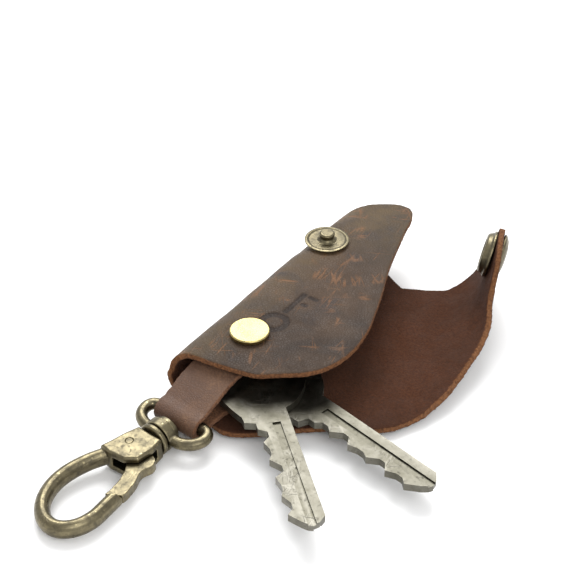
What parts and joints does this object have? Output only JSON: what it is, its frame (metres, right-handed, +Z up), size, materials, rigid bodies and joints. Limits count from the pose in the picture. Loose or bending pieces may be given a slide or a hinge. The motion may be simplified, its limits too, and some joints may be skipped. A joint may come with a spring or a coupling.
{
  "type": "key organiser",
  "caption": "Folded leather key case with a curled snap flap, keys turning on a screw, and a strap loop carrying a swivel clasp.",
  "frame": {"origin": "on the screw's axis, at the underside of its lower head, which stands on the table", "axes": "+Z up along the screw, +Y along the fold away from the clasp, +X from the fold towards the open side and the flap"},
  "size_m": [0.0747, 0.142, 0.0251],
  "materials": {
    "case_leather": "waxed pull-up leather, scuffed grain, raw edges",
    "strap_leather": "matt waxed leather strap",
    "turned_brass": "bright turned face",
    "aged_brass": "antique plated, dark recesses, rubbed edges",
    "key_nickel": "worn nickel silver",
    "spring_steel": "drawn wire"
  },
  "bodies": {
    "case": {"leather_sleeve": "case_leather", "strap_loop": "strap_leather", "screw_post": "turned_brass", "snap_stud": "aged_brass", "snap_stud_rivet": "aged_brass"},
    "cap": {"screw_cap": "turned_brass"},
    "key_a": {"key_a": "key_nickel"},
    "key_b": {"key_b": "key_nickel"},
    "flap_side": {"flap_side": "case_leather"},
    "flap_crown": {"flap_crown": "case_leather"},
    "flap_tip": {"flap_tip": "case_leather", "snap_cap": "aged_brass", "snap_socket": "aged_brass", "snap_socket_spring": "spring_steel"},
    "eye": {"swivel_eye": "aged_brass"},
    "clasp": {"swivel_post": "aged_brass", "swivel_washer": "aged_brass", "clasp_body": "aged_brass", "gate_pin": "aged_brass", "gate_spring": "spring_steel"},
    "gate": {"clasp_gate": "aged_brass"}
  },
  "joints": [
    {"name": "key_a_turn", "type": "hinge", "parent": "case", "child": "key_a", "pos_m": [0, 0, 0.0075], "axis": [0, 0, 1], "range_deg": [0, 29]},
    {"name": "key_b_turn", "type": "hinge", "parent": "case", "child": "key_b", "pos_m": [0, 0, 0.0054], "axis": [0, 0, 1], "range_deg": [-25, 0]},
    {"name": "screw_cap_turn", "type": "hinge", "parent": "case", "child": "cap", "pos_m": [0, 0, 0.016], "axis": [0, 0, 1], "continuous": true},
    {"name": "flap_close", "type": "hinge", "parent": "case", "child": "flap_side", "pos_m": [0.02814, 0.01041, 0.0027], "axis": [0.3469, -0.9379, 0], "range_deg": [0, 93.2]},
    {"name": "flap_bend", "type": "hinge", "parent": "flap_side", "child": "flap_crown", "pos_m": [0.04145, 0.01533, 0.00318], "axis": [0.3469, -0.9379, 0], "range_deg": [0, 40.7]},
    {"name": "flap_tip_bend", "type": "hinge", "parent": "flap_crown", "child": "flap_tip", "pos_m": [0.04806, 0.01778, 0.00626], "axis": [0.3469, -0.9379, 0], "range_deg": [-31.9, 0]},
    {"name": "eye_tilt", "type": "hinge", "parent": "case", "child": "eye", "pos_m": [-0.00218, -0.02491, 0.0046], "axis": [0.9962, -0.0872, 0], "range_deg": [-70, 70]},
    {"name": "clasp_swivel", "type": "hinge", "parent": "eye", "child": "clasp", "pos_m": [-0.00218, -0.02491, 0.0046], "axis": [-0.0871, -0.9951, -0.0466], "continuous": true},
    {"name": "gate_open", "type": "hinge", "parent": "clasp", "child": "gate", "pos_m": [-0.00552, -0.04016, 0.00388], "axis": [0.0041, 0.0464, -0.9989], "range_deg": [0, 22], "stiffness_Nm_per_rad": 0.01, "springref_deg": -17.19}
  ],
  "couplings": [
    {"joint": "flap_bend", "follows": "flap_close", "ratio": 0.43559},
    {"joint": "flap_tip_bend", "follows": "flap_close", "ratio": -0.3418}
  ]
}
